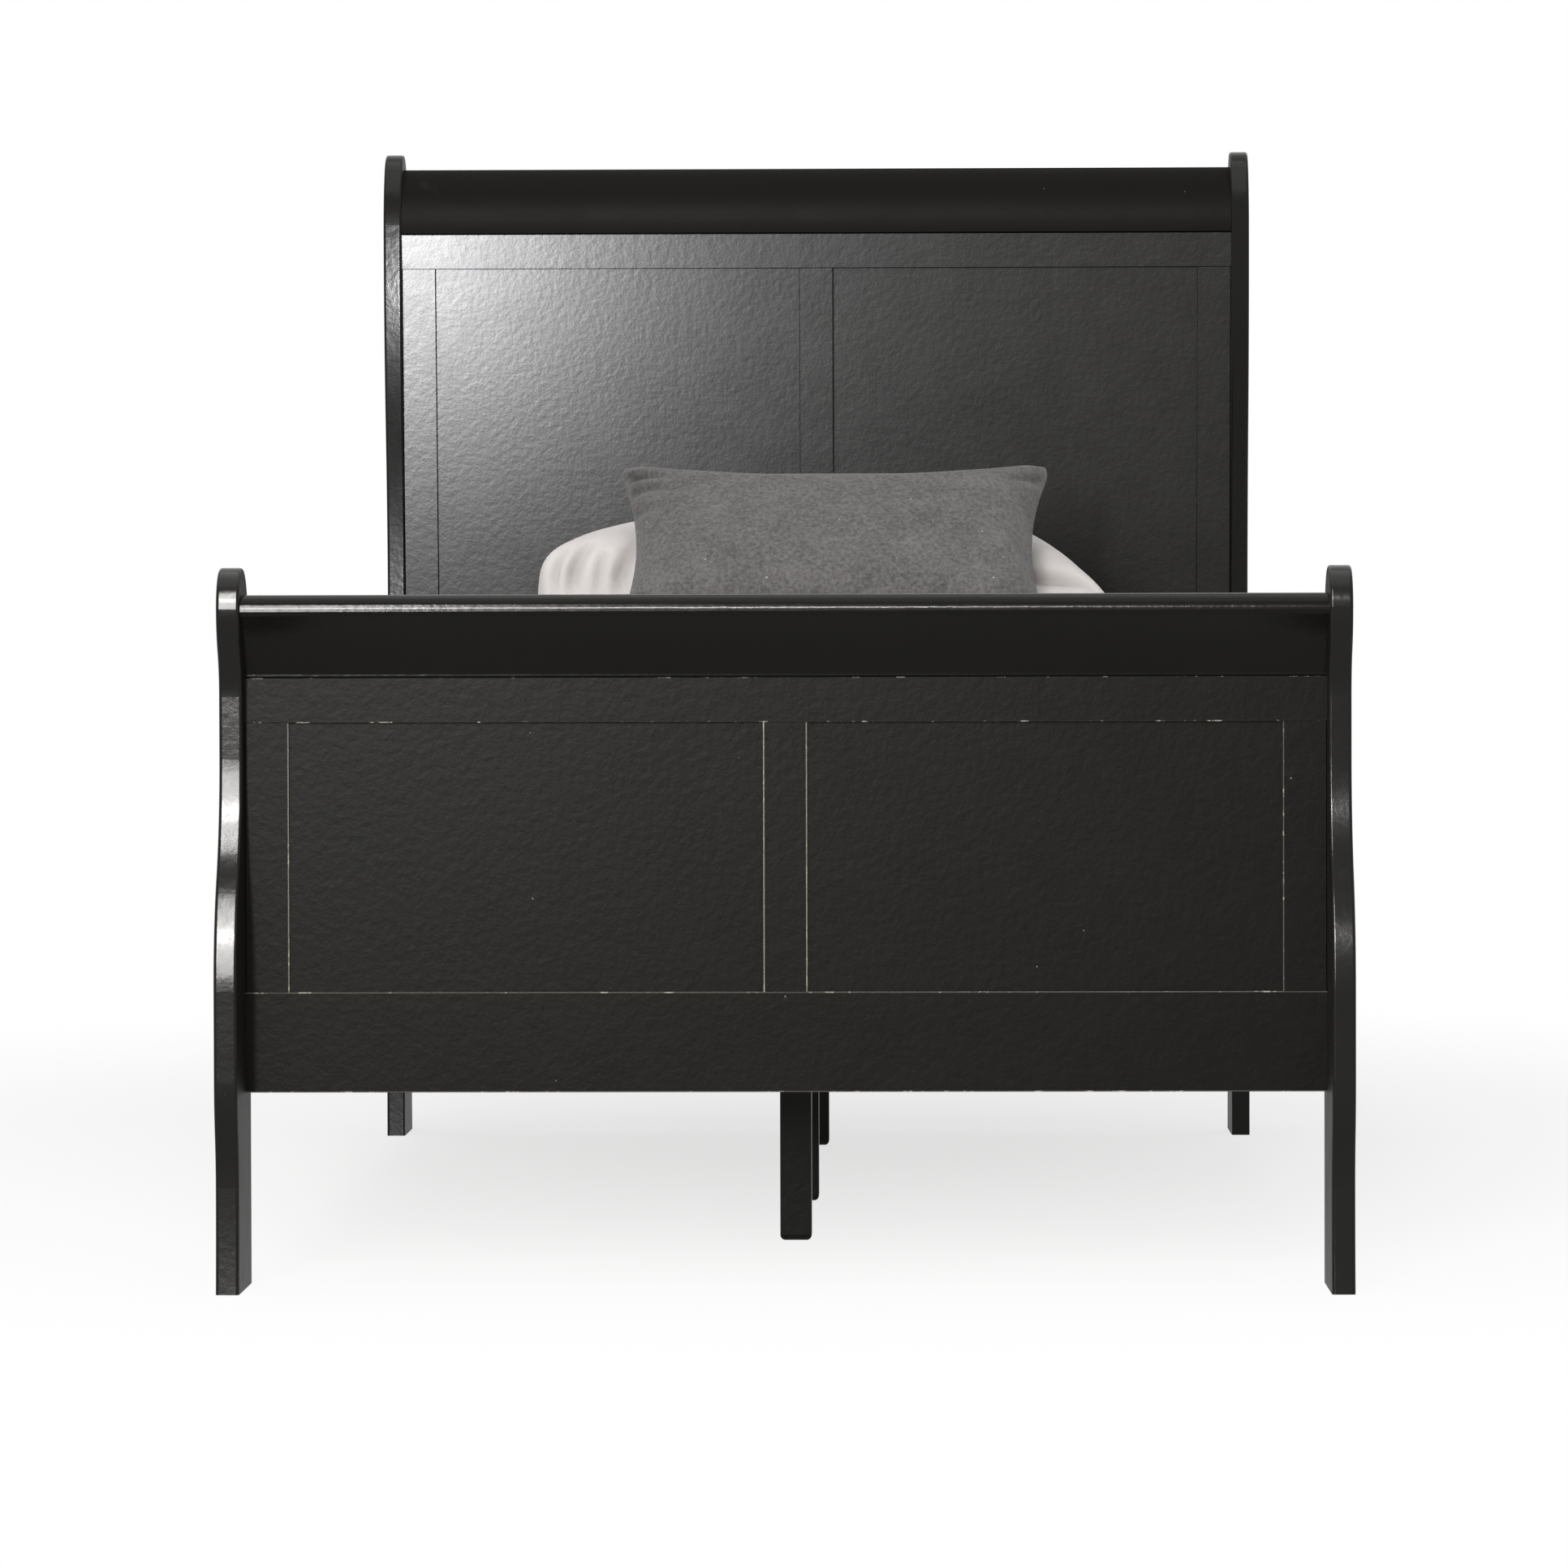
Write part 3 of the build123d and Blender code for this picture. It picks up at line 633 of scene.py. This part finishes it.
def settle(cut, formed, quads, volume):
    """Cloth cut flat, started in its formed shape and held to its filling's volume: rest lengths come from the
    flat cut, so the sheets relax and crease. Points move little along the sheet and no further than a short reach."""
    mesh = bpy.data.meshes.new("sewing")
    mesh.from_pydata(formed.tolist(), [], quads.tolist())
    sewing = bpy.data.objects.new("sewing", mesh)
    bpy.context.scene.collection.objects.link(sewing)
    sewing.shape_key_add(name="formed")
    flat = sewing.shape_key_add(name="cut")
    flat.data.foreach_set("co", cut.ravel())
    cloth = sewing.modifiers.new("filling", "CLOTH").settings
    cloth.rest_shape_key = flat
    cloth.quality = 5
    cloth.mass = 0.25
    cloth.tension_stiffness = 25
    cloth.compression_stiffness = 25
    cloth.shear_stiffness = 12
    cloth.bending_stiffness = 0.4
    cloth.air_damping = 2
    cloth.use_pressure = True
    cloth.use_pressure_volume = True
    cloth.target_volume = volume
    cloth.pressure_factor = 60
    cloth.effector_weights.gravity = 0
    scene = bpy.context.scene
    for number in range(1, SETTLING_FRAMES + 1):
        scene.frame_set(number)
    shown = sewing.evaluated_get(bpy.context.evaluated_depsgraph_get())
    points = np.empty(formed.size)
    shown.data.vertices.foreach_get("co", points)
    scene.frame_set(1)
    bpy.data.objects.remove(sewing)
    bpy.data.meshes.remove(mesh)
    moved = (points.reshape(-1, 3) - formed) * SETTLING_SHARE
    length = np.maximum(np.linalg.norm(moved, axis=1, keepdims=True), 1e-9)
    return formed + moved * np.minimum(1, SETTLING_REACH / length)


def swelling(x, y, half, left, right):
    """How far a case is filled, from 0 at its rim to 1: 1 - exp(-(d / length) ** power), where d is a rounded
    smaller one of the distances to a side and to an end. Length and power change from the left to the right."""
    from_side = np.maximum(half[0] - np.abs(x), 1e-6)
    from_end = np.maximum(half[1] - np.abs(y), 1e-6)
    distance = (from_side ** -2.5 + from_end ** -2.5) ** -0.4
    across = (x / half[0] + 1) / 2
    length = left[0] + (right[0] - left[0]) * across
    power = left[1] + (right[1] - left[1]) * across
    return 1 - np.exp(-(distance / length) ** power)


def creasing(x, y, creases):
    """Depth of all creases: each is a groove along a line, a bell curve across it, fading from start to end."""
    total = np.zeros_like(x)
    for (start_x, start_y), (end_x, end_y), depth, width in creases:
        run_x, run_y = end_x - start_x, end_y - start_y
        along = ((x - start_x) * run_x + (y - start_y) * run_y) / (run_x ** 2 + run_y ** 2)
        part = np.clip(along, 0, 1)
        aside = np.hypot(x - start_x - part * run_x, y - start_y - part * run_y)
        total += depth * np.exp(-(aside / width) ** 2) * (1 - part) ** 0.7
    return total


def outward_of(points):
    """Unit normals of a grid of points: the cross product of its two directions."""
    normal = np.cross(np.gradient(points, axis=1), np.gradient(points, axis=0))
    return normal / np.maximum(np.linalg.norm(normal, axis=-1, keepdims=True), 1e-9)


def pillow(node, material, half, rise, bow, corner, left, right, creases, place, size):
    """A sewn pillow: two sheets that swell from a common rim. The rim is a rectangle with round corners and sides
    that bow in; creases are pressed into the upper sheet; then the cloth settles and is put in place. The grid's
    lines crowd towards the rim by 1.3 t - 0.3 t ** 3."""
    v, u = (1.3 * even - 0.3 * even ** 3 for even in grid(*size))
    flat_x, flat_y = rounded_rectangle(u, v, half[0], half[1], corner)
    x = flat_x * (1 - bow[0] * (1 - v ** 2) * np.abs(u) ** 3)
    y = flat_y * (1 - bow[1] * (1 - np.abs(u) ** 3) * np.abs(v) ** 3)
    swell = swelling(u * half[0], v * half[1], half, left, right)
    upper = np.stack([x, y, rise[0] * swell], axis=-1)
    dent = creasing(flat_x, flat_y, creases) * np.minimum(1, 5 * swell)
    upper -= dent[..., None] * outward_of(upper)
    formed = two_sheets(upper, np.stack([x, y, -rise[1] * swell], axis=-1))
    flat = SLACK * np.stack([flat_x, flat_y, 0 * u], axis=-1)
    cut = two_sheets(flat + (0, 0, 0.001), flat - (0, 0, 0.001))
    upper, lower = sewn_sheets(*size)
    quads = np.concatenate([quads_of(upper), quads_of(lower)[:, ::-1]])
    volume = (rise[0] + rise[1]) * swell.mean() * 4 * half[0] * half[1] * FILLING
    points = place(settle(cut, formed, quads, volume))
    made = surface(node + "_cover", points, quads, material)
    loops = np.empty(len(made.data.loops), dtype=np.int32)
    made.data.loops.foreach_get("vertex_index", loops)
    layer = made.data.uv_layers.new(name="cloth")
    layer.data.foreach_set("uv", cut[loops][:, :2].ravel())
    shade = made.data.attributes.new("crease", "FLOAT", "POINT")
    shaded = np.minimum(dent.ravel() / CREASE_DEPTH, 1)
    shade.data.foreach_set("value", np.pad(shaded, (0, len(points) - dent.size)))
    finer = made.modifiers.new("finer", "SUBSURF")
    finer.levels = finer.render_levels = 1
    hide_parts(node)
    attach(made, node)
    return made


def rest_flat(points, height):
    """Points pressed flat from below: heights under the given one close up on it."""
    depth = np.clip(height + PRESSED - points[:, 2], 0, None)
    points[:, 2] = np.where(depth > 0, height + PRESSED * np.exp(-depth / PRESSED), points[:, 2])
    return points


def white_pillow_place(points):
    """The white pillow lies flat on the mattress, close to the headboard."""
    low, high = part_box("white_pillow")
    placed = points + np.array([WHITE_PILLOW_MIDDLE, (low[1] + high[1]) / 2, WHITE_PILLOW_SEAM])
    return rest_flat(placed, low[2])


def grey_pillow_place(points):
    """The grey pillow leans back on the white one: its face slopes up towards the headboard."""
    low, high = (np.array(corner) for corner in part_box("grey_pillow"))
    turned = points @ np.array(Matrix.Rotation(math.radians(GREY_PILLOW_SLOPE), 3, "X")).T
    placed = turned + (low + high) / 2
    return rest_flat(placed, low[2])


def make_bedding():
    """Foundation, mattress and the two pillows, each on its own body."""
    border = ticking("mattress_ticking", (0.74, 0.73, 0.70, 1), (0.64, 0.625, 0.59, 1), 500)
    base = ticking("foundation_cloth", (0.60, 0.575, 0.53, 1), (0.49, 0.465, 0.42, 1), 380)
    welt = ticking("piping_tape", (0.55, 0.53, 0.49, 1), (0.42, 0.40, 0.37, 1), 600)
    foundation = boxed_pad("foundation_cover", "foundation", base, welt, 0.0, 0.012, 0.004)
    mattress = boxed_pad("mattress_cover", "mattress", border, welt, QUILT_PUFF, 0.030, 0.008)
    white = pillow(
        "white_pillow", white_cotton(), half=(0.336, 0.222), rise=(0.160, 0.073), bow=(0.010, 0.03), corner=0.034,
        left=(0.117, 0.39), right=(0.130, 0.95), creases=WHITE_CREASES, place=white_pillow_place, size=(85, 127),
    )
    grey = pillow(
        "grey_pillow", grey_felt(), half=(0.259, 0.172), rise=(0.056, 0.050), bow=(0.110, 0.34), corner=0.034,
        left=(0.046, 0.80), right=(0.046, 0.80), creases=GREY_CREASES, place=grey_pillow_place, size=(77, 117),
    )


# Stage, light and camera

def seen(s):
    """1 for rays that come from the camera, a reflection or a refraction."""
    rays = s.add("ShaderNodeLightPath").outputs
    shown = s.calc("MAXIMUM", rays["Is Camera Ray"], rays["Is Glossy Ray"])
    return s.calc("MAXIMUM", shown, rays["Is Transmission Ray"])


def pale_floor():
    """A white floor that takes the shadows near the bed and fades into the white around it."""
    corners = FLOOR_REACH * np.array([[-1, -1, 0], [1, -1, 0], [1, 1, 0], [-1, 1, 0]])
    material = bpy.data.materials.new("pale_floor")
    material.use_nodes = True
    tree = material.node_tree
    tree.nodes.remove(tree.nodes["Principled BSDF"])
    s = Shading(tree)
    away = s.vector("LENGTH", s.place(s.own_position(), (0.62, 0.40, 1.0), move=(0, -0.44, 0)))
    factor = s.calc("MULTIPLY", s.rise(away, 0.0, 1.3, 0.70, 1.0), seen(s))
    matt = s.add("ShaderNodeBsdfDiffuse", {"Color": (0.92, 0.92, 0.92, 1)})
    white = s.add("ShaderNodeEmission", {"Color": (1, 1, 1, 1), "Strength": 1.0})
    s.feed(tree.nodes["Material Output"].inputs["Surface"], s.either(factor, matt, white))
    surface("floor", corners, np.array([[0, 1, 2, 3]]), material)


def white_world():
    """White where it is seen, and a soft even light on the object."""
    world = bpy.data.worlds.new("studio")
    bpy.context.scene.world = world
    world.use_nodes = True
    tree = world.node_tree
    s = Shading(tree)
    soft = tree.nodes["Background"]
    soft.inputs["Color"].default_value = (1, 1, 1, 1)
    soft.inputs["Strength"].default_value = AMBIENT
    white = s.add("ShaderNodeBackground", {"Color": (1, 1, 1, 1), "Strength": 1.0})
    s.feed(tree.nodes["World Output"].inputs["Surface"], s.either(seen(s), soft, white))


def softbox(name, at, aim, width, height, brightness, colour=(1, 1, 1), diffuse=True, glossy=True):
    """A soft area lamp that the camera doesn't see. Its power is four times its face times that face's brightness. It
    can be left out of matt light, so that it shows in reflections only, or out of reflections."""
    lamp = bpy.data.lights.new(name, "AREA")
    lamp.shape = "RECTANGLE"
    lamp.size = width
    lamp.size_y = height
    lamp.energy = 4 * width * height * brightness
    lamp.color = colour
    made = bpy.data.objects.new(name, lamp)
    bpy.context.scene.collection.objects.link(made)
    back = np.array(at, dtype=float) - np.array(aim, dtype=float)
    back /= np.linalg.norm(back)
    side = np.cross((0.0, 0.0, 1.0) if abs(back[2]) < 0.99 else (0.0, 1.0, 0.0), back)
    side /= np.linalg.norm(side)
    turn = Matrix(np.stack([side, np.cross(back, side), back], axis=1).tolist())
    made.matrix_world = Matrix.Translation(at) @ turn.to_4x4()
    made.visible_camera = False
    made.visible_diffuse = diffuse
    made.visible_glossy = glossy
    return made


def linked(name, pieces, state):
    """A collection of lit pieces for a lamp: it lights these only, or all but these."""
    made = bpy.data.collections.new(name)
    for piece in pieces:
        made.objects.link(nodes[piece])
    for entry in made.collection_objects:
        entry.light_linking.link_state = state
    return made


def light_studio():
    """Two strips beside the camera that show in reflections only, and not in the headboard's posts; a soft key that
    reflections leave out; a wide top light; the headboard's cards; and an even fill."""
    tall = softbox("tall_strip", (-1.12, -6.5, 3.1), (-0.5, -1.0, 0.5), 0.36, 5.0, 106.0, WARM, diffuse=False)
    crest = softbox("crest_strip", (-0.45, -6.5, 3.1), (-0.1, -1.0, 0.6), 1.6, 0.20, 288.0, WARM, diffuse=False)
    softbox("key", (-0.8, -6.5, 2.8), (-0.2, -1.0, 0.6), 1.6, 2.4, 17.0, WARM, glossy=False)
    softbox("overhead", (-0.3, -0.6, 4.4), (0, 0, 0), 4.2, 4.2, 1.2)
    all_but_posts = linked("not_headboard_posts", HEADBOARD_POSTS, "EXCLUDE")
    for strip in (tall, crest):
        strip.light_linking.receiver_collection = all_but_posts
    light_headboard()
    white_world()


def light_headboard():
    """A card over the bed that only the headboard's face mirrors, with its sheen brightest at the upper left, and a
    low card that only its left post mirrors."""
    card = softbox("headboard_card", (-0.70, -0.4, 0.98), (-0.5, 0.96, 1.12), 0.42, 0.36, 212.0, COOL,
                   diffuse=False)
    card.light_linking.receiver_collection = linked("headboard_face", HEADBOARD_FACE, "INCLUDE")
    low = softbox("post_card", (-0.02, -6.5, 0.66), (-0.52, 0.95, 1.03), 1.2, 0.5, 480.0, COOL, diffuse=False)
    low.light_linking.receiver_collection = linked("headboard_left_post", HEADBOARD_POSTS[:1], "INCLUDE")


def photo_camera():
    """The photograph's camera: turned by its yaw, tipped by its pitch, then rolled."""
    lens = bpy.data.cameras.new("camera")
    lens.lens = CAMERA_LENS
    lens.sensor_width = 36.0
    lens.clip_end = 200.0
    made = bpy.data.objects.new("camera", lens)
    bpy.context.scene.collection.objects.link(made)
    yaw, pitch, roll = (math.radians(angle) for angle in (CAMERA_YAW, CAMERA_PITCH, CAMERA_ROLL))
    turn = Matrix.Rotation(yaw, 4, "Z") @ Matrix.Rotation(math.pi / 2 + pitch, 4, "X")
    made.matrix_world = Matrix.Translation(CAMERA_AT) @ turn @ Matrix.Rotation(-roll, 4, "Z")
    bpy.context.scene.camera = made


dress_boards()
dress_bed_base()
make_bedding()
pale_floor()
light_studio()
photo_camera()
bpy.context.scene.view_settings.view_transform = "Standard"
